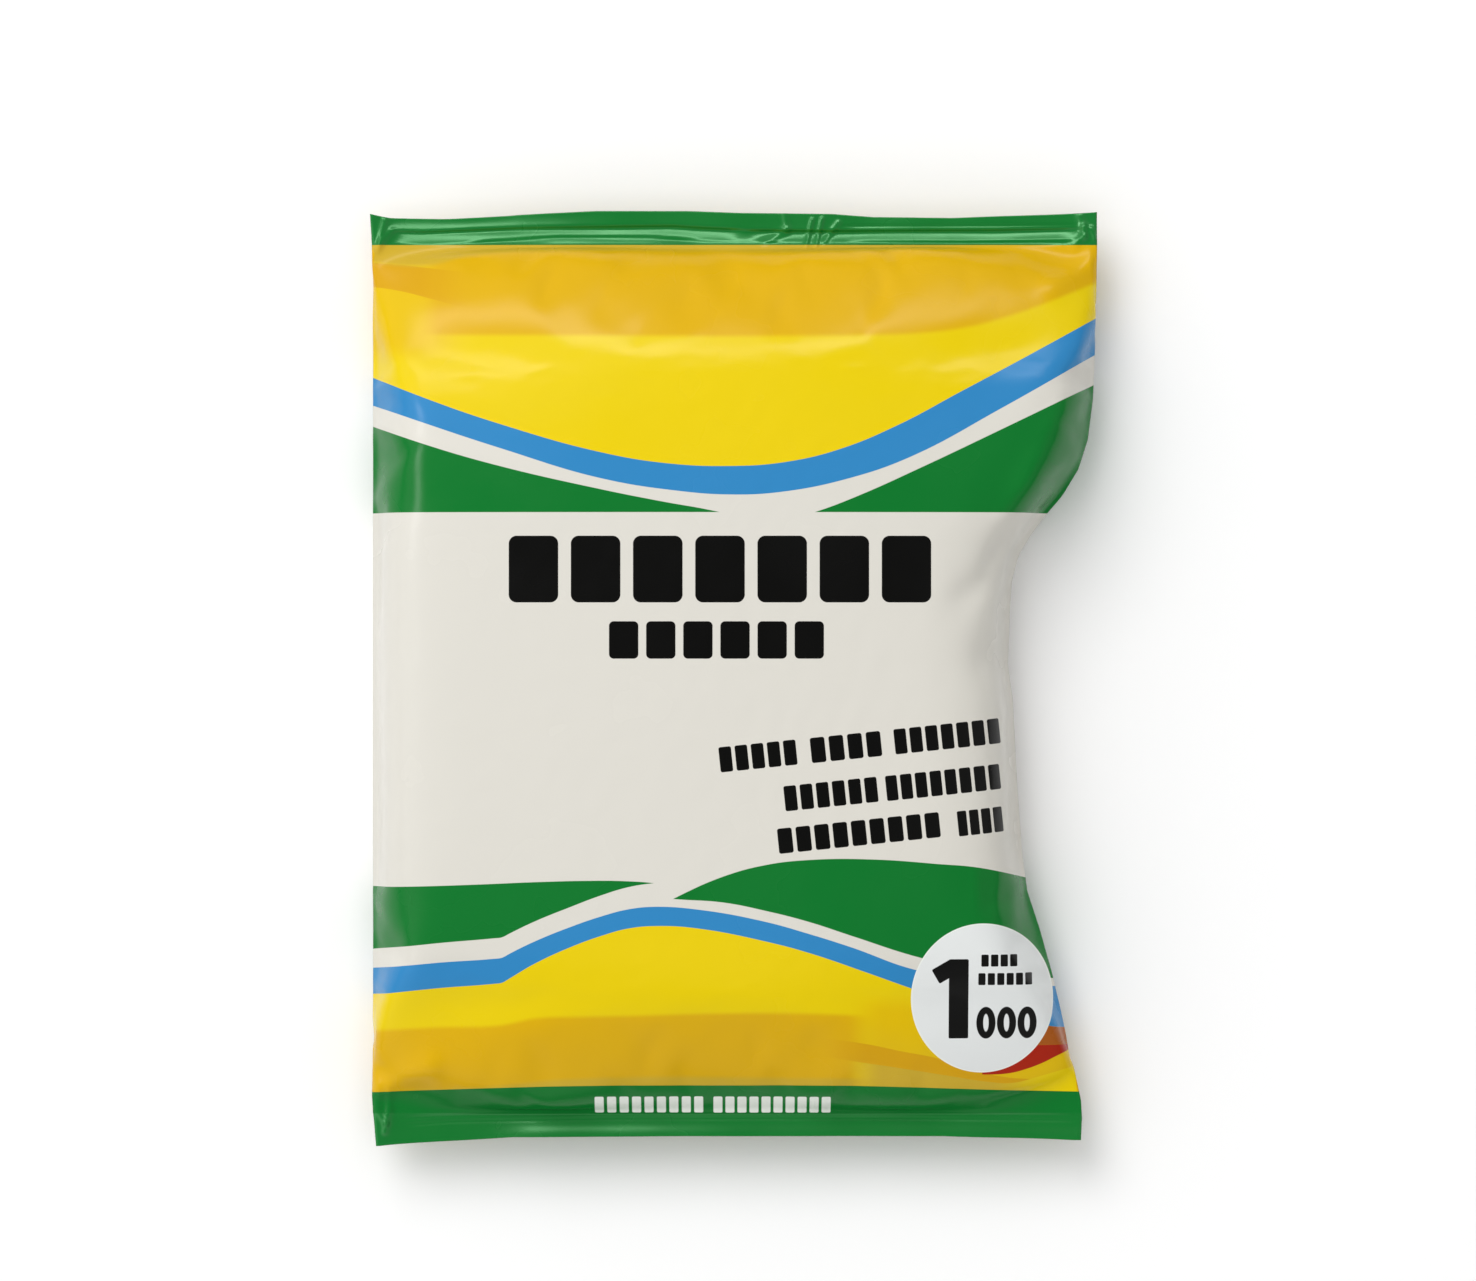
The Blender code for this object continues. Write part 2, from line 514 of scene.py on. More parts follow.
# %% [markdown]
# ## Fitting the outline
#
# The filled tube comes out with both sides drawn in alike. The pouch in the photograph leans: its left side
# is straight, and its right side keeps its width along the head and is then drawn in deeply. The outline is
# a handful of pixels read from the photograph. Each row of the film is slid and stretched between its own
# two sides onto them, and each column between its own two ends, so every crease stays on the film. Powder
# fills a pouch in another way than gas: it packs the film's sides, so the film is pushed outwards there, and
# it thins out towards the two welds, so the film is slid inwards there and the steep ends become slopes.

# %% Outline of the pouch
LEFT_EDGE_PX = [(214, 370), (245, 372), (300, 373), (1060, 373), (1095, 372), (1146, 376)]
RIGHT_EDGE_PX = [
    (212, 1097), (250, 1097), (350, 1095), (400, 1093), (440, 1088), (470, 1078), (495, 1063),
    (515, 1046), (535, 1031), (555, 1019), (580, 1012), (610, 1010), (665, 1008), (700, 1013),
    (780, 1017), (850, 1022), (890, 1027), (926, 1039), (976, 1053), (1026, 1064), (1070, 1074),
    (1100, 1081), (1118, 1082), (1139, 1081),
]
HEAD_EDGE_PX = [
    (370, 214), (400, 218), (450, 219), (520, 215), (600, 211), (690, 211), (740, 213), (830, 214),
    (870, 217), (950, 218), (1030, 215), (1097, 212),
]
FOOT_EDGE_PX = [
    (376, 1146), (450, 1141), (520, 1137), (700, 1136), (950, 1136), (1030, 1138), (1081, 1140),
]
FOOT_WELD_PX = (0, 1113)
HEAD_WELD_PX = (0, 245)
OUTLINE_SMOOTHING = 2
TAPER = 3.5
TAPER_REACH = 0.010
WALL_PUSH = 0.45
WALL_REACH = 0.08


def side_target(edge_px, heights):
    """The outline's x at these heights, read from (row, column) pixels."""
    points = place_of([(column, row) for row, column in edge_px])[::-1]
    return np.interp(heights, points[:, 1], points[:, 0])


def end_target(edge_px, places):
    """The outline's y at these places across."""
    points = place_of(edge_px)
    return np.interp(places, points[:, 0], points[:, 1])


def eased(distance):
    """Moves distances from a weld inward by a factor, 1 and a share that decays with the distance."""
    return distance * (1 + TAPER * np.exp(-distance / TAPER_REACH))


def fit_ends(sheets):
    """Slides each column along Y: its welds start on two straight lines and end on the outline."""
    across = film_u[:, 0] / FLAT_WIDTH * WIDTH
    foot_edge = end_target(FOOT_EDGE_PX, across)[:, None]
    head_edge = end_target(HEAD_EDGE_PX, across)[:, None]
    foot_line, head_line = place_of([FOOT_WELD_PX, HEAD_WELD_PX])[:, 1]
    foot, head = (np.argmin(np.abs(fine_along - place)) for place in (-WELD_PLACE, WELD_PLACE))
    share = np.clip(0.5 + film_v / (2 * WELD_PLACE), 0, 1)
    blend = share**2 * (3 - 2 * share)
    for sheet in sheets:
        y = sheet[..., 1]
        y += (head_line - y[:, [head]]) * blend + (foot_line - y[:, [foot]]) * (1 - blend)
        ends = ((foot_line, foot_edge, y[:, foot::-1]), (head_line, head_edge, y[:, head:]))
        for line, edge, strip in ends:
            strip[:] = line + (strip - line) * (edge - line) / (strip[:, [-1]] - line)
        body = y[:, foot : head + 1]
        body += eased(np.clip(body - foot_line, 0, None)) - (body - foot_line)
        body -= eased(np.clip(head_line - body, 0, None)) - (head_line - body)


def pushed_out(share):
    """Moves shares near a side towards it, by a bell curve of their distance, which steepens the wall."""
    side = np.minimum(share, 1 - share)
    push = side * WALL_PUSH * np.exp(-((side / WALL_REACH) ** 2))
    return np.where(share < 0.5, share - push, share + push)


def outermost(sheets, pick):
    """Places of each row's outermost point on one side, smoothed along the pouch."""
    both = np.concatenate(sheets)
    columns = pick(both[..., 0], axis=0)
    edge = both[columns, np.arange(both.shape[1])]
    return blurred(edge[:, 0], OUTLINE_SMOOTHING), blurred(edge[:, 1], OUTLINE_SMOOTHING)


def fit_sides(sheets):
    """Slides and stretches each row along X so that its two sides lie on the outline."""
    low, low_height = outermost(sheets, np.argmin)
    high, high_height = outermost(sheets, np.argmax)
    left = side_target(LEFT_EDGE_PX, low_height)
    right = side_target(RIGHT_EDGE_PX, high_height)
    for sheet in sheets:
        share = (sheet[..., 0] - low) / (high - low)
        sheet[..., 0] = left + pushed_out(share) * (right - left)


fit_ends((front_sheet, back_sheet))
fit_sides((front_sheet, back_sheet))
print("the outline spans", np.ptp(front_sheet, axis=(0, 1))[:2].round(4), "m")

# %% [markdown]
# ## Setting it down
#
# On the floor the pouch's own weight presses its back flat. The press is one smooth curve for every height:
# far above the floor it changes nothing, and what would lie below the floor comes to rest on it. On top,
# the powder heaps a little towards the middle, where gas would leave the front level. The heap is just so
# high that the pouch reaches its full thickness.

# %% Heights on the floor
PRESSED = 0.0036
PRESS_SOFTNESS = 0.0006


def rest_on_floor(sheets):
    """Heights above the press plane stay, those below become 0, and a softened corner joins the two."""
    lowest = min(sheet[..., 2].min() for sheet in sheets)
    for sheet in sheets:
        above = (sheet[..., 2] - lowest - PRESSED) / PRESS_SOFTNESS
        sheet[..., 2] = PRESS_SOFTNESS * np.logaddexp(0, above)


def heap_up(sheet):
    """Raises heights, up to the thickness, by a dome: one less the square across, times the same along."""
    heights = sheet[1:-1, 1:-1, 2]
    dome = (1 - (film_u / HALF_WIDTH) ** 2) * (1 - (film_v / HALF_LENGTH) ** 2)
    dome = dome[1:-1, 1:-1]
    heap = ((THICKNESS / heights - 1) / dome).min()
    heights *= 1 + heap * dome
    return heap


rest_on_floor((front_sheet, back_sheet))
heap = heap_up(front_sheet)
print(f"heap of {heap:.2f}; the seals lie at {front_sheet[:, 0, 2].mean() / MM:.1f} mm")

# %% [markdown]
# ## Pixels on the raised front
#
# The scale of the pixels holds at the height of the seals. The front stands up to 23 mm above them, nearer
# to the camera, so it is seen a little too large. Every vertex of the front has a place where it is seen,
# and a pixel's place on the front is found from the vertex that is seen nearest to it.

# %% Pixels to metres on the front
film_places = front_sheet.reshape(-1, 3)[:, :2].copy()
rise = front_sheet.reshape(-1, 3)[:, 2:] - SEAL_PLANE
seen_places = PICTURE_MIDDLE + (film_places - PICTURE_MIDDLE) * CAMERA_HEIGHT / (CAMERA_HEIGHT - rise)


def front_place_of(pixels):
    """Places of pixels on the front: their plain places, moved as the vertex seen nearest to each is."""
    places = place_of(pixels)
    distances = [((seen_places - place) ** 2).sum(axis=1) for place in places.reshape(-1, 2)]
    nearest = np.argmin(distances, axis=1)
    return places + (film_places - seen_places)[nearest].reshape(places.shape)


print("the front's corner of the print moves by", place_of((371, 300)) - front_place_of((371, 300)), "m")

# %% [markdown]
# ## Hollows and soft ridges of the front
#
# Where the right side is drawn in, the film is too long for the powder under it and lies in shallow
# hollows, and soft ridges run from the corners to where the film is tight. A hollow is a bell-shaped dip,
# longer one way than the other. A ridge is a bell across a line, which dies away past the line's ends.

# %% Hollows and ridges
HOLLOWS_PX = [
    # centre, two radii, slope in degrees, depth in metres
    ((1008, 533), (24, 11), 68, 0.0014),
    ((994, 557), (17, 9), 60, 0.0016),
    ((975, 588), (26, 14), 40, 0.0015),
    ((987, 655), (22, 14), 85, 0.0014),
]
RIDGES_PX = [
    # start, end, height and width in metres
    ((1070, 400), (1012, 520), 0.0016, 0.0034),
    ((977, 868), (978, 908), 0.00035, 0.0009),
    ((999, 870), (997, 912), 0.00045, 0.0012),
    ((1092, 262), (1052, 286), 0.0012, 0.0026),
    ((376, 1088), (430, 1068), 0.0016, 0.0026),
]
FRONT_SIDE_FADE = 0.004


def hollow(x, y, centre, radii, degrees, depth):
    """A bell-shaped dip of the offsets from its centre, which are turned and divided by its radii."""
    cx, cy = front_place_of(centre)
    turn = math.radians(degrees)
    a = ((x - cx) * math.cos(turn) + (y - cy) * math.sin(turn)) / (radii[0] * PIXEL)
    b = ((y - cy) * math.cos(turn) - (x - cx) * math.sin(turn)) / (radii[1] * PIXEL)
    return -depth * np.exp(-(a**2 + b**2))


def ridge(x, y, start, end, height, width):
    """A bell-shaped height of the distance from the line between two ends, divided by the width."""
    start, end = front_place_of([start, end])
    run = end - start
    share = np.clip(((x - start[0]) * run[0] + (y - start[1]) * run[1]) / (run @ run), 0, 1)
    d = np.hypot(x - start[0] - share * run[0], y - start[1] - share * run[1])
    return height * np.exp(-((d / width) ** 2))


def front_relief(x, y):
    """All the hollows and ridges added up."""
    return sum(hollow(x, y, *dip) for dip in HOLLOWS_PX) + sum(ridge(x, y, *line) for line in RIDGES_PX)


def fading_at_sides(reach):
    """0 on the side folds and 1 from the reach inwards, with a straight run between."""
    return np.clip((HALF_WIDTH - np.abs(film_u)) / reach, 0, 1)


relief = front_relief(front_sheet[..., 0], front_sheet[..., 1])
front_sheet[..., 2] += relief * fading_at_sides(FRONT_SIDE_FADE)
print(f"front relief from {relief.min() / MM:.2f} to {relief.max() / MM:.2f} mm")

# %% [markdown]
# ## Folds of the seals
#
# The welded strips at head and foot are stiff, so they fold in long lines. Going in from the film's cut
# end, the film climbs to a sharp crest, drops steeply at the fold and then rises back on a straight ramp. At
# the head the ramps lean towards the long light beyond the head and show as light bands, and the steep
# drops mirror the dark horizon on the other side and show as dark lines. At the foot the folds are lower,
# and it is their drops that lean towards that light. Each fold follows a few pixels of the photograph and
# fades out at both ends.

# %% Long folds
HEAD_FOLDS_PX = [
    # pixels along the fold; drop, length of the ramp and crest in metres
    (
        [(386, 236), (392, 231), (423, 232), (519, 228), (672, 226), (701, 228), (748, 230)],
        0.00105, 0.0028, 0.00010,
    ),
    ([(740, 230), (821, 231), (917, 230), (994, 230), (1083, 228)], 0.00105, 0.0026, 0.00030),
    ([(470, 242), (557, 237), (653, 237), (700, 240)], 0.00040, 0.0012, 0.0),
    ([(838, 225), (917, 225), (1080, 224)], 0.00035, 0.0010, 0.00006),
    ([(845, 241), (960, 242), (1075, 241)], 0.00030, 0.0012, 0.00006),
]
FOOT_FOLDS_PX = [
    (
        [(400, 1120), (470, 1116.5), (600, 1115), (760, 1115), (900, 1114.5), (1078, 1117)],
        0.00028, 0.0010, 0.00006,
    ),
    (
        [(400, 1127), (450, 1123), (600, 1120), (760, 1119.5), (900, 1119.5), (1078, 1121.5)],
        0.00030, 0.0011, 0.00006,
    ),
]
FOLD_SHARPNESS = 0.00016
CREST_REACH = 0.0005
FOLD_END_FADE = 0.006
S_CURVE_LIMIT = 50


def s_curve(share):
    """One over one plus the exponential of minus the share: 0 far below zero and 1 far above it."""
    return 1 / (1 + np.exp(-np.clip(share, -S_CURVE_LIMIT, S_CURVE_LIMIT)))


def fold(x, inward, points_px, drop, ramp_length, crest):
    """A crest that decays on both sides, less a drop by an S-curve that a straight ramp takes back."""
    points = place_of(points_px)
    s = inward(np.interp(x, points[:, 0], points[:, 1]))
    ends = np.clip(np.minimum(x - points[0, 0], points[-1, 0] - x) / FOLD_END_FADE, 0, 1)
    relief = crest * np.exp(-np.abs(s) / CREST_REACH)
    relief -= drop * s_curve(s / FOLD_SHARPNESS) * np.clip(1 - s / ramp_length, 0, 1)
    return relief * ends * (2 - ends)


def seal_folds(x, y):
    """All the folds added up; inward is down from a line at the head and up from it at the foot."""
    at_head = sum(fold(x, lambda line: line - y, *points) for points in HEAD_FOLDS_PX)
    return at_head + sum(fold(x, lambda line: y - line, *points) for points in FOOT_FOLDS_PX)


print(len(HEAD_FOLDS_PX), "folds at the head and", len(FOOT_FOLDS_PX), "at the foot")

# %% [markdown]
# Handling adds short sharp creases across the seals: a group right of the head's middle, and one near each
# corner, where the film's end flicks over. They are narrow ridges. The cut ends curl up or down a little,
# and the whole strip waves. The weld itself has pressed the cloth's own small bumps out of the strip.

# %% Short creases, curls and waves
CREASES_PX = [
    # start, end, height and width in metres
    ((785, 213), (787, 230), 0.00036, 0.00070),
    ((787, 230), (764, 243), 0.00034, 0.00090),
    ((812, 220), (806, 246), 0.00044, 0.00050),
    ((822, 219), (816, 246), 0.00044, 0.00050),
    ((838, 223), (824, 242), 0.00036, 0.00070),
    ((385, 220), (378, 249), 0.00055, 0.00075),
    ((392, 231), (381, 244), 0.00045, 0.00085),
    ((1080, 216), (1084, 227), 0.00050, 0.00080),
    ((1084, 227), (1084, 236), 0.00050, 0.00080),
    ((1084, 236), (1074, 246), 0.00050, 0.00085),
    ((1091, 229), (1096, 238), 0.00045, 0.00070),
    ((389.5, 1086), (389, 1110), 0.00045, 0.00065),
    ((389, 1110), (385, 1132), 0.00055, 0.00070),
    ((375, 1106), (386, 1123), 0.00060, 0.00085),
]
# pixel across, and height in metres of the cut edge
HEAD_CURL = [(370, 0.0), (400, -0.0009), (560, -0.0008), (620, -0.0001), (780, 0.0), (1097, -0.0002)]
FOOT_CURL = [(376, -0.0003), (470, 0.0001), (530, 0.0010), (650, 0.0010), (740, 0.0005), (1081, 0.0004)]
CURL_REACH = 0.0042
WELD_SMOOTHING = 16
WELD_SHARPNESS = 0.0004
# height, length and start of each wave, and how far in from the cut ends the waves reach
WAVES = [(0.00030, 0.047, 0.6), (0.00016, 0.021, 2.1)]
WAVE_REACH = 2.5 * SEAL_LENGTH
SEAL_SIDE_FADE = 0.001

from_cut = HALF_LENGTH - np.abs(film_v)
weld = s_curve((SEAL_LENGTH - from_cut) / WELD_SHARPNESS)


def waves(x):
    """Sum of sine waves, each of its own height, length and start."""
    return sum(height * np.sin(2 * np.pi * x / length + start) for height, length, start in WAVES)


def curl(x, heights):
    """The cut edge's height over x, fading inward by half a cosine."""
    places = [place_of((column, 0))[0] for column, height in heights]
    at_edge = np.interp(x, places, [height for column, height in heights])
    return at_edge * (0.5 + 0.5 * np.cos(np.pi * np.clip(from_cut / CURL_REACH, 0, 1)))


def pressed_flat(sheet):
    """Replaces heights in the weld by their own smooth course along the strip."""
    smooth = np.apply_along_axis(blurred, 0, sheet[..., 2], WELD_SMOOTHING)
    sheet[..., 2] += (smooth - sheet[..., 2]) * weld


pressed_flat(front_sheet)
pressed_flat(back_sheet)
x, y = front_sheet[..., 0], front_sheet[..., 1]
side_fade = fading_at_sides(SEAL_SIDE_FADE)
relief = (seal_folds(x, y) + sum(ridge(x, y, *crease) for crease in CREASES_PX)) * side_fade
bend = waves(film_u) * np.clip(1 - from_cut / WAVE_REACH, 0, 1)
bend += np.where(film_v > 0, curl(x, HEAD_CURL), curl(x, FOOT_CURL))
front_sheet[..., 2] += relief + bend + FILM_PAIR / 2 * weld * side_fade
back_sheet[..., 2] += relief * weld + bend - FILM_PAIR / 2 * weld * side_fade
print(f"seal relief from {relief.min() / MM:.2f} to {relief.max() / MM:.2f} mm")

# %% [markdown]
# ## The back seam
#
# The film web is closed to a tube by a lapped seam down the back. Its fin is pressed flat and is the lowest
# part of the back, so the pouch rests on it and the film beside it stands off the floor by the film's
# thickness. It ends in a free edge, a sharp small step, and runs out softly at its root.

# %% Back seam
FIN_EDGE = 0.012
FIN_ROOT = -0.004
FIN_STEP = 0.00035
FIN_EDGE_SHARPNESS = 0.0003
FIN_ROOT_SHARPNESS = 0.0015


def fin_share(x):
    """1 on the fin and 0 beside it: an S-curve up at its root times one down at its edge."""
    return s_curve((FIN_EDGE - x) / FIN_EDGE_SHARPNESS) * s_curve((x - FIN_ROOT) / FIN_ROOT_SHARPNESS)


back_sheet[..., 2] += FIN_STEP * (1 - fin_share(back_sheet[..., 0])) * (1 - weld) * side_fade
print(f"the film beside the fin stands {FIN_STEP / MM:.2f} mm off the floor")

# %% [markdown]
# ## One closed film
#
# The two sheets become one mesh. They share their vertices down the side folds, and a narrow strip joins
# them along the cut edges of the two seals, so the surface is closed. A flat map of the film goes with it,
# the front in its left half and the back in its right, as the web lay in the printing press. The faces are
# sorted by finish: the front, the back, and the welded strips of the front.

# %% Film mesh
MAP_MARGIN = 0.004
FRONT, BACK, WELDED = 0, 1, 2


def flat_places(start):
    """Places on the flat map, 0 to 1: across the film in one half of it, and along the film up it."""
    u = start + MAP_MARGIN + (film_u / FLAT_WIDTH + 0.5) * (0.5 - 2 * MAP_MARGIN)
    v = MAP_MARGIN + (film_v / FLAT_LENGTH + 0.5) * (1 - 2 * MAP_MARGIN)
    return np.stack([u, v], axis=-1).reshape(-1, 2)


def cut_strips(front, back):
    """Quads along the two cut edges from the front's row to the back's; those at the folds are triangles."""
    strips = []
    for row, turned in ((0, True), (-1, False)):
        f, b = front[:, row], back[:, row]
        quads = np.stack([f[:-1], f[1:], b[1:], b[:-1]], axis=-1)
        strips += [list(dict.fromkeys(quad)) for quad in (quads[:, ::-1] if turned else quads).tolist()]
    return strips


def build_film():
    """The two sheets and the two strips as one mesh, with its flat map and its finishes."""
    front, back, own = sheet_numbers(np.ones(film_u.shape, dtype=bool))
    sides = [quads_of(front), quads_of(back, turned=True)]
    strips = cut_strips(front, back)
    vertices = np.concatenate([front_sheet.reshape(-1, 3), back_sheet[own]])
    film = new_object("film_pouch", vertices, sides[0].tolist() + sides[1].tolist() + strips)
    places = flat_places(0.0)
    corners = [places[quads_of(front)], flat_places(0.5)[quads_of(front, turned=True)]]
    in_strips = [number % front.size for strip in strips for number in strip]
    loops = np.concatenate([*(sheet.reshape(-1, 2) for sheet in corners), places[in_strips]])
    film.data.uv_layers.new(name="OFBake").data.foreach_set("uv", loops.astype(np.float32).ravel())
    finish = np.zeros(len(film.data.polygons), dtype=np.int32)
    finish[: len(sides[0])] = np.where((weld[:-1, :-1] + weld[:-1, 1:]).ravel() > 1, WELDED, FRONT)
    finish[len(sides[0]) : len(sides[0]) + len(sides[1])] = BACK
    film.data.polygons.foreach_set("material_index", finish)
    film.data.shade_smooth()
    return film


film = build_film()
print(f"film has {len(film.data.polygons)} faces")

# %% Check the volume


def volume_of(thing):
    """Sum over the triangles of a sixth of one corner dotted with the cross product of the others."""
    thing.data.calc_loop_triangles()
    corners = np.empty(len(thing.data.loop_triangles) * 3, dtype=np.int32)
    thing.data.loop_triangles.foreach_get("vertices", corners)
    places = np.empty(len(thing.data.vertices) * 3, dtype=np.float32)
    thing.data.vertices.foreach_get("co", places)
    a, b, c = places.reshape(-1, 3)[corners.reshape(-1, 3)].transpose(1, 0, 2).astype(float)
    return (a * np.cross(b, c)).sum() / 6


print(f"the pouch holds {volume_of(film) * 1e6:.0f} cubic centimetres")

# %% [markdown]
# ## Inks
#
# The print is a few flat inks on white film, and one more colour that is no ink: a tan that stands for the
# sheen where the film rounds down to a seal, a painted sheen laid like an ink. Their colours are given as on
# a screen and turned into the linear values that a shader works with. The film's gloss adds a little grey to
# them in the render, so the dark ones are mixed deeper than they look.

# %% Ink colours


def ink(code):
    """Linear colour of a six-digit screen code: dark parts over 12.92, the rest by a power of 2.4."""
    screen = np.array([int(code[i : i + 2], 16) for i in (0, 2, 4)]) / 255
    linear = np.where(screen <= 0.04045, screen / 12.92, ((screen + 0.055) / 1.055) ** 2.4)
    return (*linear.tolist(), 1.0)


GREEN = ink("08742a")
BLUE = ink("2f84be")
YELLOW = ink("e6ca00")
GOLD = ink("daac00")
WARM_YELLOW = ink("e0ba00")
# painted sheen: the pale tan of light glancing off the film where it rounds down to the seals, laid as an
# ink
PAINTED_SHEEN_TAN = ink("ccaa2c")
DEEP_GOLD = ink("d4a000")
CREAM = ink("d9d6cd")
PALE = ink("e4e7e6")
RIM = ink("ecf0ea")
BLACK = ink("0b0b0a")
RED = ink("a82004")
BROWN = ink("a85814")
WHITE = ink("eef2ea")

# %% Laying inks


def painted(tree, under, over, mask):
    """The colour over laid on the colour under where the mask is 1."""
    node = tree.nodes.new("ShaderNodeMix")
    node.data_type = "RGBA"
    feed(tree, node.inputs["Factor"], mask)
    feed(tree, node.inputs[6], under)
    feed(tree, node.inputs[7], over)
    return node.outputs[2]


# %% [markdown]
# ## Lines of the print
#
# Every band of the print is bounded by lines that run across the pouch. A few pixels on each are enough,
# because the curve between them is smooth. Where a line reaches a side fold it starts or ends on the fold,
# so that the back can carry the band on from there.

# %% Print lines of the head
PANEL_TOP_PX = 512
HEAD_GREEN_BASE_PX = 245
# lower edge of the painted tan sheen below the head seal
HEAD_TAN_BASE_PX = [(371, 262), (428, 265), (470, 256), (560, 251), (850, 251), (960, 247), (1095, 242)]
HEAD_SWOOSH_TOP_PX = [(371, 263), (400, 265), (428, 268), (480, 274)]
HEAD_SWOOSH_BASE_PX = [(371, 287), (400, 291), (428, 298), (480, 312)]
HEAD_SWOOSH_FADE_PX = (475, 415)
HEAD_GOLD_FADE_PX = (415, 440)
HEAD_WARM_ROW_PX = 352
HEAD_WARM_FADE_PX = (470, 415)
HEAD_GOLD_BASE_PX = [
    (371, 334), (430, 334.5), (560, 335), (850, 335), (925, 332.5), (968, 327), (1000, 318.5), (1035, 307),
    (1095, 283),
]
HEAD_BLUE_TOP_PX = [
    (371, 377), (430, 400), (500, 424), (600, 452), (665, 463), (730, 466), (785, 462), (840, 449),
    (900, 424), (960, 392), (1020, 360), (1095, 319),
]
HEAD_BLUE_BASE_PX = [
    (371, 405), (430, 425), (500, 448), (600, 478), (680, 491), (730, 494.5), (780, 492), (850, 478),
    (910, 457), (1000, 409), (1095, 355),
]
HEAD_LEFT_WEDGE_PX = [(371, 426), (430, 446), (500, 466), (600, 489), (660, 501), (715, 511), (735, 516)]
HEAD_RIGHT_WEDGE_PX = [(800, 516), (818, 511), (860, 495), (920, 468), (1000, 430), (1092, 386)]

# %% Print lines of the foot
FOOT_LEFT_WEDGE_TOP_PX = [
    (371, 886), (480, 884.5), (540, 882), (590, 880.8), (620, 881), (654, 883.2), (665, 885),
]
FOOT_LEFT_WEDGE_BASE_PX = [
    (371, 949), (435, 943.5), (494, 938.3), (502, 937.4), (509, 933.8), (533.5, 922), (571, 906.8),
    (600, 895.8), (629, 887), (654, 883.2), (665, 882.5),
]
FOOT_RIGHT_WEDGE_TOP_PX = [
    (660, 906), (672, 899.5), (723, 876.7), (766, 865), (809, 860), (873, 859.5), (938, 864), (981, 868),
    (1026, 877.5),
]
FOOT_RIGHT_WEDGE_BASE_PX = [
    (660, 898), (680, 899.5), (723, 902.5), (766, 911), (809, 922), (852, 936), (916, 956.6), (985, 972),
    (1053, 978),
]
FOOT_BLUE_TOP_PX = [
    (371, 968), (435, 963), (494, 958.8), (502, 957.8), (509, 954), (533.5, 942), (571, 926.8),
    (600, 916.8), (629, 909.2), (655, 906.8), (697, 909.5), (766, 922), (809, 934), (852, 947.6),
    (912, 969), (985, 982), (1055, 986),
]
FOOT_BLUE_BASE_PX = [
    (371, 994), (435, 988.5), (494, 983.8), (502, 982.8), (509, 978.8), (533.5, 964.3), (571, 947),
    (600, 936.3), (629, 928.4), (660, 926), (697, 928.4), (766, 941.6), (809, 953), (865, 972),
    (910, 988), (985, 1013), (1064, 1027),
]
FOOT_GOLD_TOP_PX = [
    (371, 1030), (435, 1027.5), (500, 1025.5), (535, 1018.5), (580, 1017), (865, 1016), (1067, 1036),
]
FOOT_GREEN_TOP_PX = [
    (371, 1092), (430, 1090), (500, 1088), (580, 1086), (700, 1085.5), (860, 1086), (950, 1088.5),
    (1030, 1090.5), (1079, 1091.5),
]
FOOT_SWOOSH_TOP_PX = [
    (820, 1038), (866, 1044), (900, 1051), (940, 1059), (975, 1071), (1005, 1077), (1030, 1079),
]
FOOT_SWOOSH_BASE_PX = [
    (820, 1056), (866, 1063), (900, 1068), (950, 1076), (990, 1082), (1010, 1083), (1030, 1079),
]
ROUNDEL_PX = (982.8, 998.3)
BROWN_BASE_PX = 1046.5
RED_BASE_PX = [(985, 1074.5), (1010, 1073), (1026, 1069), (1043, 1062.5), (1055, 1056.5), (1069, 1049)]
FOOT_SWOOSH_FADE_PX = (815, 870)
FOOT_GOLD_FADE_PX = (885, 845)
FOOT_WARM_ROW_PX = 1003
# where the painted tan sheen under the foot's swoosh fades out, and where the painted sheen above the green
# band starts
FOOT_TAN_FADE_PX = (1045, 990)
FOOT_TAN_TOP_PX = [(371, 1094), (500, 1086), (560, 1080), (866, 1079), (950, 1079), (1079, 1090)]

# %% [markdown]
# A Float Curve node draws a line: it turns the share of the pouch's width into a share of its length. What
# lies above or below a line is then a subtraction and a short ramp, about as sharp as real print.

# %% Bands between lines
# softness of an edge, in millimetres: sharp, as most are, or as gold and warm yellow fade in
SHARP = 0.05
GOLD_SOFTNESS = 0.8
WARM_SOFTNESS = 3.0


def line_over(tree, x, points_px):
    """A smooth line through pixels of the photograph: its height in millimetres over x in millimetres."""
    node = tree.nodes.new("ShaderNodeFloatCurve")
    curve = node.mapping.curves[0]
    shares = (front_place_of(points_px) - LOW[:2]) / (WIDTH, LENGTH)
    curve.points[0].location = shares[0]
    curve.points[1].location = shares[-1]
    for share in shares[1:-1]:
        curve.points.new(*share)
    node.mapping.update()
    feed(tree, node.inputs["Value"], maths(tree, "MULTIPLY_ADD", x, MM / WIDTH, -LOW[0] / WIDTH))
    return maths(tree, "MULTIPLY_ADD", node.outputs["Value"], LENGTH / MM, LOW[1] / MM)


def straight_over(tree, x, points_px):
    """The straight line from a line's first pixel to its last, as a slope and a height in the middle."""
    (x0, y0), (x1, y1) = front_place_of([points_px[0], points_px[-1]]) / MM
    slope = (y1 - y0) / (x1 - x0)
    return maths(tree, "MULTIPLY_ADD", x, slope, y0 - slope * x0)


def row_mm(row):
    """Height in millimetres of a pixel row."""
    return float(front_place_of((POUCH_MIDDLE_PX[0], row))[1] / MM)


def column_mm(column):
    """Place across in millimetres of a pixel column."""
    return float(front_place_of((column, POUCH_MIDDLE_PX[1]))[0] / MM)


def sideways(tree, x, fade_px):
    """0 up to the first pixel column and 1 from the second on, or the other way round."""
    start, end = (column_mm(column) for column in fade_px)
    return ramp(tree, x, start, end)


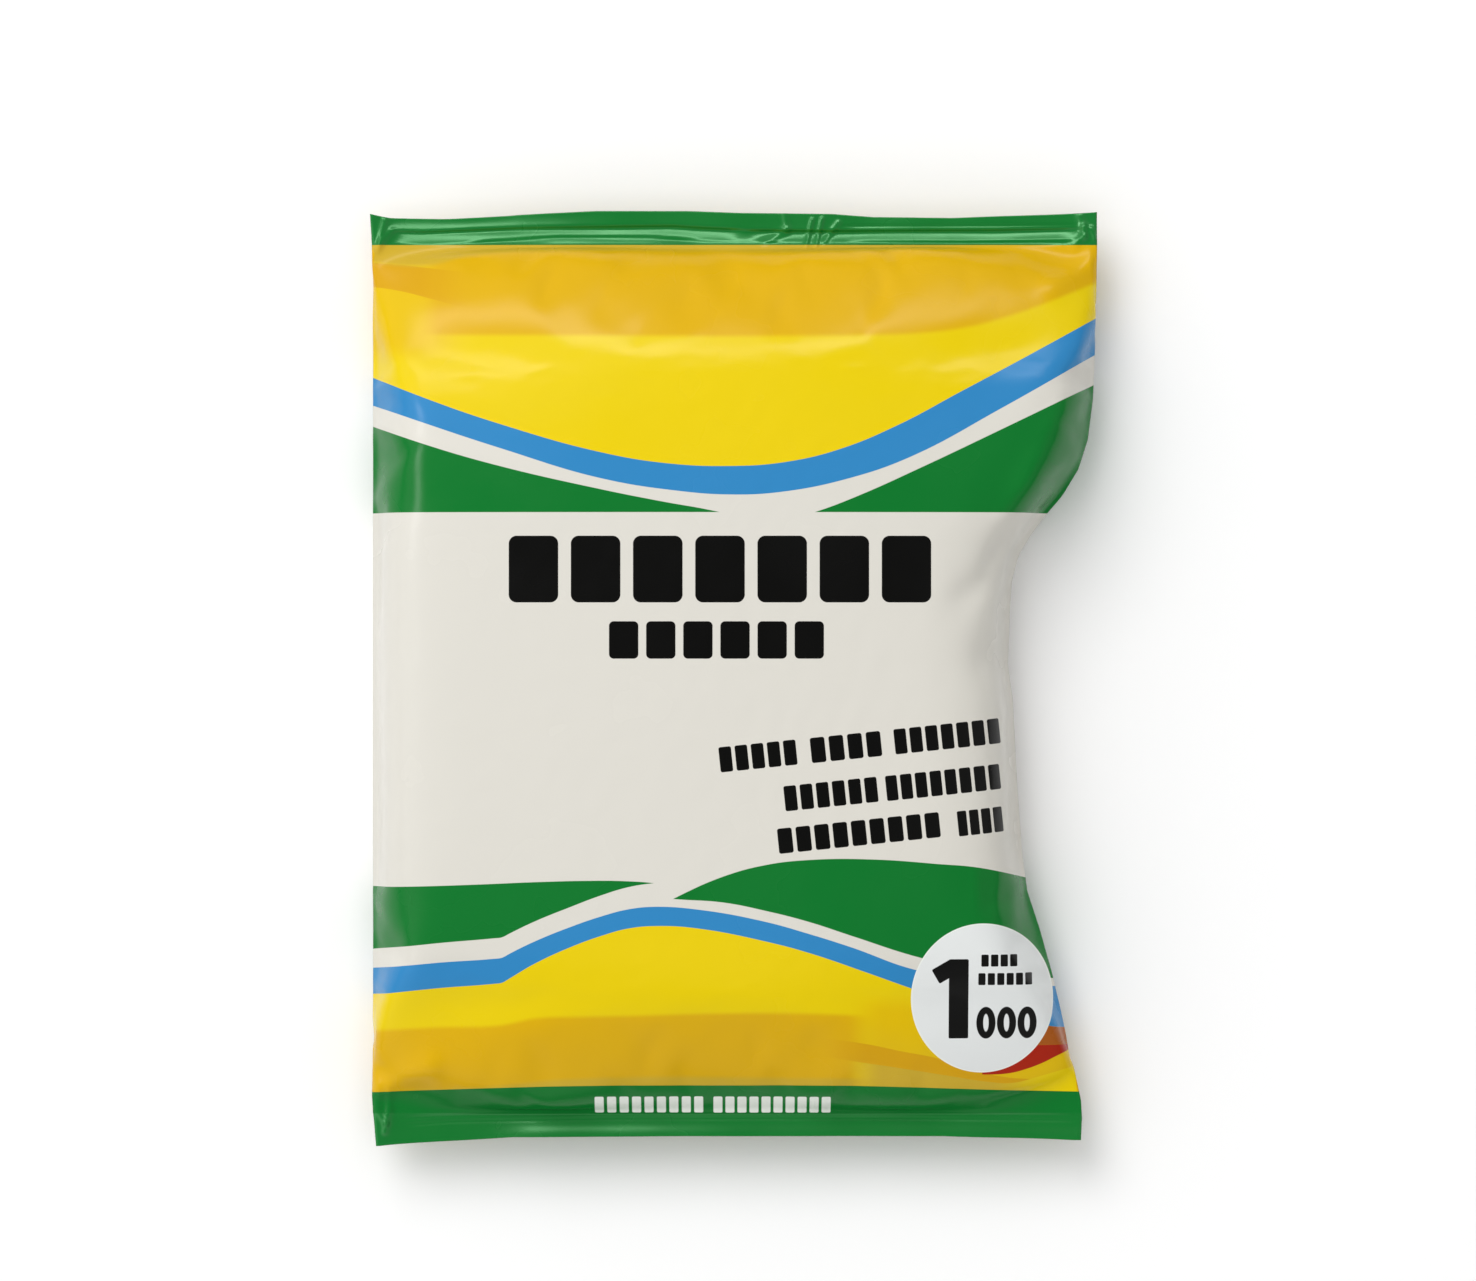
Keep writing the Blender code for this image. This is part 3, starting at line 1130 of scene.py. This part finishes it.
def above(tree, y, line, softness=SHARP):
    """1 above a line and 0 below it."""
    return ramp(tree, maths(tree, "SUBTRACT", y, line), -softness, softness)


def below(tree, y, line, softness=SHARP):
    """1 below a line and 0 above it."""
    return ramp(tree, maths(tree, "SUBTRACT", y, line), softness, -softness)


def overlap(tree, first, second):
    """1 where both masks are 1: their product."""
    return maths(tree, "MULTIPLY", first, second)


def between(tree, y, top, base):
    """1 below one line and above another."""
    return overlap(tree, below(tree, y, top), above(tree, y, base))


# %% Bands of the front


def head_bands(tree, colour, x, y):
    """The head, from the panel upwards: two green wedges, a blue stripe, yellow, gold and green."""
    panel_top = row_mm(PANEL_TOP_PX)
    for wedge_px in (HEAD_LEFT_WEDGE_PX, HEAD_RIGHT_WEDGE_PX):
        wedge = between(tree, y, line_over(tree, x, wedge_px), panel_top)
        colour = painted(tree, colour, GREEN, wedge)
    for ink_colour, line_px in ((BLUE, HEAD_BLUE_BASE_PX), (YELLOW, HEAD_BLUE_TOP_PX)):
        colour = painted(tree, colour, ink_colour, above(tree, y, line_over(tree, x, line_px)))
    colour = head_golds(tree, colour, x, y)
    return painted(tree, colour, GREEN, above(tree, y, row_mm(HEAD_GREEN_BASE_PX)))


def head_golds(tree, colour, x, y):
    """Gold across the head, a deep gold swoosh over warm yellow at its left, and a painted tan sheen at the
    seal.
    """
    warm = above(tree, y, row_mm(HEAD_WARM_ROW_PX), WARM_SOFTNESS)
    gold = above(tree, y, line_over(tree, x, HEAD_GOLD_BASE_PX), GOLD_SOFTNESS)
    swoosh_top = line_over(tree, x, HEAD_SWOOSH_TOP_PX)
    swoosh = between(tree, y, swoosh_top, line_over(tree, x, HEAD_SWOOSH_BASE_PX))
    layers = [
        (WARM_YELLOW, warm, HEAD_WARM_FADE_PX),
        (GOLD, gold, HEAD_GOLD_FADE_PX),
        (DEEP_GOLD, swoosh, HEAD_SWOOSH_FADE_PX),
    ]
    for ink_colour, mask, fade_px in layers:
        colour = painted(tree, colour, ink_colour, overlap(tree, mask, sideways(tree, x, fade_px)))
    # painted sheen: a tan strip where the film rounds up to the head seal
    tan = above(tree, y, line_over(tree, x, HEAD_TAN_BASE_PX), GOLD_SOFTNESS)
    return painted(tree, colour, PAINTED_SHEEN_TAN, tan)


def foot_bands(tree, colour, x, y):
    """The foot, from the panel downwards: two green wedges, a blue stripe, yellow, gold and green."""
    wedges_px = [
        (FOOT_LEFT_WEDGE_TOP_PX, FOOT_LEFT_WEDGE_BASE_PX),
        (FOOT_RIGHT_WEDGE_TOP_PX, FOOT_RIGHT_WEDGE_BASE_PX),
    ]
    for top_px, base_px in wedges_px:
        wedge = between(tree, y, line_over(tree, x, top_px), line_over(tree, x, base_px))
        colour = painted(tree, colour, GREEN, wedge)
    blue_base = line_over(tree, x, FOOT_BLUE_BASE_PX)
    colour = painted(tree, colour, BLUE, below(tree, y, line_over(tree, x, FOOT_BLUE_TOP_PX)))
    colour = painted(tree, colour, YELLOW, below(tree, y, blue_base))
    colour = foot_golds(tree, colour, x, y, blue_base)
    colour = brown_and_red(tree, colour, x, y, blue_base)
    return painted(tree, colour, GREEN, below(tree, y, line_over(tree, x, FOOT_GREEN_TOP_PX)))


def foot_golds(tree, colour, x, y, blue_base):
    """A gold band at the left and at the right a deep gold swoosh over warm yellow, each with a painted tan
    sheen below it.
    """
    left = sideways(tree, x, FOOT_GOLD_FADE_PX)
    right = maths(tree, "SUBTRACT", 1.0, left)
    gold = below(tree, y, line_over(tree, x, FOOT_GOLD_TOP_PX), GOLD_SOFTNESS)
    warm = below(tree, y, row_mm(FOOT_WARM_ROW_PX), WARM_SOFTNESS)
    warm = overlap(tree, warm, below(tree, y, blue_base))
    swoosh_base = line_over(tree, x, FOOT_SWOOSH_BASE_PX)
    under = overlap(tree, below(tree, y, swoosh_base), right)
    strip = below(tree, y, line_over(tree, x, FOOT_TAN_TOP_PX), GOLD_SOFTNESS)
    swoosh = between(tree, y, line_over(tree, x, FOOT_SWOOSH_TOP_PX), swoosh_base)
    layers = [
        (GOLD, overlap(tree, gold, left)),
        (WARM_YELLOW, overlap(tree, warm, right)),
        (YELLOW, under),
        # painted tan sheen under the swoosh at the right, and just above the green band at the left
        (PAINTED_SHEEN_TAN, overlap(tree, under, sideways(tree, x, FOOT_TAN_FADE_PX))),
        (PAINTED_SHEEN_TAN, overlap(tree, strip, left)),
        (DEEP_GOLD, overlap(tree, swoosh, sideways(tree, x, FOOT_SWOOSH_FADE_PX))),
    ]
    for ink_colour, mask in layers:
        colour = painted(tree, colour, ink_colour, mask)
    return colour


def brown_and_red(tree, colour, x, y, blue_base):
    """A brown and a red swoosh that come out of the roundel at its right, over bright yellow."""
    right = sideways(tree, x, (ROUNDEL_PX[0], ROUNDEL_PX[0] + 1))
    brown_base = row_mm(BROWN_BASE_PX)
    brown = between(tree, y, blue_base, brown_base)
    red = between(tree, y, brown_base, line_over(tree, x, RED_BASE_PX))
    for ink_colour, mask in ((BROWN, brown), (RED, red)):
        colour = painted(tree, colour, ink_colour, overlap(tree, mask, right))
    return colour


# %% [markdown]
# ## Rows of plain tiles
#
# Rows of plain rounded tiles are printed on the panel and on the foot's green band. The slanted rows end
# just before the film turns down into the side wall, where they would be drawn out long. One tile is the
# distance to a rounded block. A Vector Math node that wraps the place repeats it along the row.

# %% Rows of tiles
TILE_ROWS_PX = [
    # middle, slope in degrees, number of tiles, pitch, width and height of a tile
    ((720, 569), 0.0, 7, 61.5, (49, 66)),
    ((716.5, 640), 0.0, 6, 36.7, (29, 37)),
    ((758, 756), 5.9, 5, 16.0, (12.5, 25)),
    ((846, 747), 5.9, 4, 18.5, (14.5, 25)),
    ((947.5, 736.4), 5.9, 7, 15.6, (12.2, 25)),
    ((831, 794), 5.9, 6, 16.0, (12.5, 25)),
    ((943.5, 782.6), 5.9, 8, 14.7, (11.5, 25)),
    ((859, 833), 5.9, 9, 18.3, (14.5, 25)),
    ((980.5, 821.5), 5.9, 4, 12.0, (9.4, 25)),
]
FOOT_TILE_ROWS_PX = [
    ((649, 1104.5), 0.0, 9, 12.4, (9, 17)),
    ((772, 1104.5), 0.0, 10, 12.0, (9, 17)),
]
TILE_CORNER = 0.16
FAR = 1000.0
PIXEL_MM = PIXEL / MM


def seen_from(tree, flat, centre_px, degrees=0.0):
    """Places as offsets in millimetres from a centre, along a turned pair of axes."""
    node = tree.nodes.new("ShaderNodeMapping")
    node.vector_type = "TEXTURE"
    feed(tree, node.inputs["Vector"], flat)
    node.inputs["Location"].default_value = (*front_place_of(centre_px) / MM, 0.0)
    node.inputs["Rotation"].default_value = (0.0, 0.0, math.radians(degrees))
    return node.outputs["Vector"]


def block(tree, place, width, height, corner):
    """1 in a rounded block: no further than the corner's radius from a block that is smaller by as much."""
    inner = (width / 2 - corner, height / 2 - corner, 0.0)
    past = vector_maths(tree, "SUBTRACT", vector_maths(tree, "ABSOLUTE", place), inner)
    distance = vector_maths(tree, "LENGTH", vector_maths(tree, "MAXIMUM", past, (0.0, 0.0, 0.0)))
    return ramp(tree, distance, corner + SHARP, corner - SHARP)


def repeated(tree, place, count, pitch):
    """The place wrapped to one pitch, with the middle of the row between two tiles when they are even."""
    if count % 2 == 0:
        place = vector_maths(tree, "ADD", place, (pitch / 2, 0.0, 0.0))
    return vector_maths(tree, "WRAP", place, (pitch / 2, FAR, FAR), (-pitch / 2, -FAR, -FAR))


def within_row(tree, place, count, pitch):
    """1 between the two ends of a row of so many."""
    return maths(tree, "LESS_THAN", maths(tree, "ABSOLUTE", part_of(tree, place, "X")), count * pitch / 2)


def tile_row(tree, flat, centre_px, degrees, count, pitch_px, tile_px):
    """1 in each tile of a row: the wrapped block, kept between the row's ends."""
    place = seen_from(tree, flat, centre_px, degrees)
    pitch = pitch_px * PIXEL_MM
    width, height = (side * PIXEL_MM for side in tile_px)
    tile = block(tree, repeated(tree, place, count, pitch), width, height, TILE_CORNER * width)
    return overlap(tree, tile, within_row(tree, place, count, pitch))


def joined(tree, masks):
    """1 where any of the masks is 1."""
    mask = masks[0]
    for other in masks[1:]:
        mask = maths(tree, "MAXIMUM", mask, other)
    return mask


print("tiles in the rows of the panel:", sum(row[2] for row in TILE_ROWS_PX))

# %% [markdown]
# ## The roundel
#
# A pale oval at the lower right carries a plain number: a tall one and three zeros. A zero is a ring
# between two ovals, a one is a block with a slanting block as its flag.

# %% Roundel
ROUNDEL_RADII_PX = (71.6, 74.8)
RIM_PX = 1.3
# middle, slope in degrees and size of the one's two blocks; middle, number, pitch and radii of the zeros
ONE_STEM_PX = ((958.6, 998.8), 0.0, (19.6, 79.5))
ONE_FLAG_PX = ((945.2, 971.4), 30.0, (22.0, 16.0))
ZEROS_PX = ((1006.5, 1022.5), 3, 20.6, (9.6, 16.0), (2.7, 8.8))
SMALL_ROWS_PX = [
    ((999.5, 960.6), 0.0, 4, 9.6, (7.4, 12.0)),
    ((1005.5, 979.0), 0.0, 6, 9.4, (7.2, 12.0)),
]
NUMBER_CORNER = 0.35


def oval(tree, place, radii_px):
    """1 in an oval: where the place, divided by the two radii, is no longer than one."""
    a, b = (radius * PIXEL_MM for radius in radii_px)
    reach = vector_maths(tree, "LENGTH", vector_maths(tree, "MULTIPLY", place, (1 / a, 1 / b, 0.0)))
    return ramp(tree, reach, 1 + SHARP / a, 1 - SHARP / a)


def number_mask(tree, flat):
    """1 in the one's two blocks, the three rings and the two small rows of tiles."""
    masks = [tile_row(tree, flat, *row) for row in SMALL_ROWS_PX]
    for centre_px, degrees, size_px in (ONE_STEM_PX, ONE_FLAG_PX):
        width, height = (side * PIXEL_MM for side in size_px)
        masks.append(block(tree, seen_from(tree, flat, centre_px, degrees), width, height, NUMBER_CORNER))
    centre_px, count, pitch_px, outer_px, inner_px = ZEROS_PX
    pitch = pitch_px * PIXEL_MM
    place = seen_from(tree, flat, centre_px)
    wrapped = repeated(tree, place, count, pitch)
    ring = maths(tree, "SUBTRACT", oval(tree, wrapped, outer_px), oval(tree, wrapped, inner_px))
    masks.append(overlap(tree, ring, within_row(tree, place, count, pitch)))
    return joined(tree, masks)


def roundel(tree, colour, flat):
    """A light rim, the pale oval in it, and the number on that."""
    place = seen_from(tree, flat, ROUNDEL_PX)
    for ink_colour, inset in ((RIM, 0.0), (PALE, RIM_PX)):
        radii_px = [radius - inset for radius in ROUNDEL_RADII_PX]
        colour = painted(tree, colour, ink_colour, oval(tree, place, radii_px))
    return painted(tree, colour, BLACK, number_mask(tree, flat))


# %% [markdown]
# ## Both sides of the print
#
# The front is painted from the cream panel outwards, and the tiles and the roundel come last. On the back
# every band runs straight from where its line meets one side fold to where it meets the other.

# %% Front and back prints


def front_print(tree, flat, x, y):
    """The colour of the front: cream, the bands, the roundel and the tiles, each over the ones before."""
    colour = head_bands(tree, CREAM, x, y)
    colour = foot_bands(tree, colour, x, y)
    colour = roundel(tree, colour, flat)
    tiles = joined(tree, [tile_row(tree, flat, *row) for row in TILE_ROWS_PX])
    colour = painted(tree, colour, BLACK, tiles)
    foot_tiles = joined(tree, [tile_row(tree, flat, *row) for row in FOOT_TILE_ROWS_PX])
    return painted(tree, colour, WHITE, foot_tiles)


def back_print(tree, flat, x, y):
    """The colour of the back: cream, and each band over the ones before, beyond its own straight line."""
    head_lines = [
        (GREEN, [(0, PANEL_TOP_PX), (1, PANEL_TOP_PX)]),
        (CREAM, [HEAD_LEFT_WEDGE_PX[0], HEAD_RIGHT_WEDGE_PX[-1]]),
        (BLUE, HEAD_BLUE_BASE_PX),
        (YELLOW, HEAD_BLUE_TOP_PX),
        (GOLD, HEAD_GOLD_BASE_PX),
    ]
    foot_lines = [
        (GREEN, [FOOT_LEFT_WEDGE_TOP_PX[0], FOOT_RIGHT_WEDGE_TOP_PX[-1]]),
        (CREAM, [FOOT_LEFT_WEDGE_BASE_PX[0], FOOT_RIGHT_WEDGE_BASE_PX[-1]]),
        (BLUE, FOOT_BLUE_TOP_PX),
        (YELLOW, FOOT_BLUE_BASE_PX),
        (GOLD, FOOT_GOLD_TOP_PX),
        (GREEN, FOOT_GREEN_TOP_PX),
    ]
    colour = CREAM
    for beyond, lines in ((above, head_lines), (below, foot_lines)):
        for ink_colour, line_px in lines:
            colour = painted(tree, colour, ink_colour, beyond(tree, y, straight_over(tree, x, line_px)))
    return painted(tree, colour, GREEN, above(tree, y, row_mm(HEAD_GREEN_BASE_PX)))


# %% [markdown]
# ## The film's finish
#
# Printed film has a soft gloss. Powder grains press through it as a fine tooth, settled powder makes it
# gently lumpy, and it carries small crinkles, which are the ridges where a noise crosses its own middle
# value. All three are heights in millimetres added up for one Bump node. The gloss itself varies in soft
# patches where dust has dulled it. The hot jaws that weld the two ends iron the film there, so the welded
# strips shine much more than the rest, with a glint that the melted green film has tinted.

# %% Finish of the film
# heights in millimetres; each noise is its scale, in features per millimetre, and its detail
GRAIN_HEIGHT = 0.006
GRAIN = (1.1, 1.0)
LUMP_HEIGHT = 0.10
LUMPS = (0.07, 1.5)
CRINKLE_HEIGHT = 0.005
CRINKLES = (0.055, 3.0)
CRINKLE_POWER = 24.0
CRINKLED = (0.03, 2.0)
CRINKLED_FROM_TO = (0.45, 0.62)
DUST = (0.04, 3.0)
DUSTY_FROM_TO = (0.3, 0.7)
# roughness where the film is clean and where dust has dulled it
GLOSS = (0.20, 0.29)
SHINE = 0.20
WELD_SHINE = 0.95
PLAIN_TINT = (1.0, 1.0, 1.0, 1.0)
WELD_TINT = (0.50, 1.0, 0.58, 1.0)


def noise(tree, place, scale, detail):
    """Noise of about 0 to 1, with features of about one over the scale, in millimetres."""
    node = tree.nodes.new("ShaderNodeTexNoise")
    feed(tree, node.inputs["Vector"], place)
    node.inputs["Scale"].default_value = scale
    node.inputs["Detail"].default_value = detail
    return node.outputs["Fac"]


def crinkles(tree, place):
    """A high power of how close a noise is to its middle value, kept where a wider noise is high."""
    off_middle = maths(tree, "ABSOLUTE", maths(tree, "SUBTRACT", noise(tree, place, *CRINKLES), 0.5))
    closeness = maths(tree, "MULTIPLY_ADD", off_middle, -2.0, 1.0)
    ridges = maths(tree, "POWER", closeness, CRINKLE_POWER)
    return overlap(tree, ridges, ramp(tree, noise(tree, place, *CRINKLED), *CRINKLED_FROM_TO))


def film_height(tree, place):
    """Height in millimetres of grain, lumps and crinkles together."""
    height = maths(tree, "MULTIPLY", noise(tree, place, *GRAIN), GRAIN_HEIGHT)
    height = maths(tree, "MULTIPLY_ADD", noise(tree, place, *LUMPS), LUMP_HEIGHT, height)
    return maths(tree, "MULTIPLY_ADD", crinkles(tree, place), CRINKLE_HEIGHT, height)


def film_material(name, printed, shine, tint):
    """Glossy printed film: its print as the colour, and its relief and gloss from noise."""
    material = bpy.data.materials.new(name)
    material.use_nodes = True
    tree = material.node_tree
    shader = tree.nodes["Principled BSDF"]
    metres = tree.nodes.new("ShaderNodeTexCoord").outputs["Object"]
    place = vector_maths(tree, "MULTIPLY", metres, (1 / MM, 1 / MM, 1 / MM))
    flat = vector_maths(tree, "MULTIPLY", metres, (1 / MM, 1 / MM, 0.0))
    x, y = part_of(tree, flat, "X"), part_of(tree, flat, "Y")
    shader.inputs["Specular IOR Level"].default_value = shine
    shader.inputs["Specular Tint"].default_value = tint
    feed(tree, shader.inputs["Base Color"], printed(tree, flat, x, y))
    bump = tree.nodes.new("ShaderNodeBump")
    bump.inputs["Distance"].default_value = MM
    feed(tree, bump.inputs["Height"], film_height(tree, place))
    feed(tree, shader.inputs["Normal"], bump.outputs["Normal"])
    dull = ramp(tree, noise(tree, place, *DUST), *DUSTY_FROM_TO)
    roughness = maths(tree, "MULTIPLY_ADD", dull, GLOSS[1] - GLOSS[0], GLOSS[0])
    feed(tree, shader.inputs["Roughness"], roughness)
    print(name, "has", len(tree.nodes), "nodes")
    return material


finishes = [
    ("printed_front", front_print, SHINE, PLAIN_TINT),
    ("printed_back", back_print, SHINE, PLAIN_TINT),
    ("welded_front", front_print, WELD_SHINE, WELD_TINT),
]
for finish in finishes:
    film.data.materials.append(film_material(*finish))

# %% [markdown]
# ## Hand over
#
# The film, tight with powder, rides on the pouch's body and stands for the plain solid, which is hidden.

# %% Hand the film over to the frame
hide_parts("pouch")
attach(film, "root")
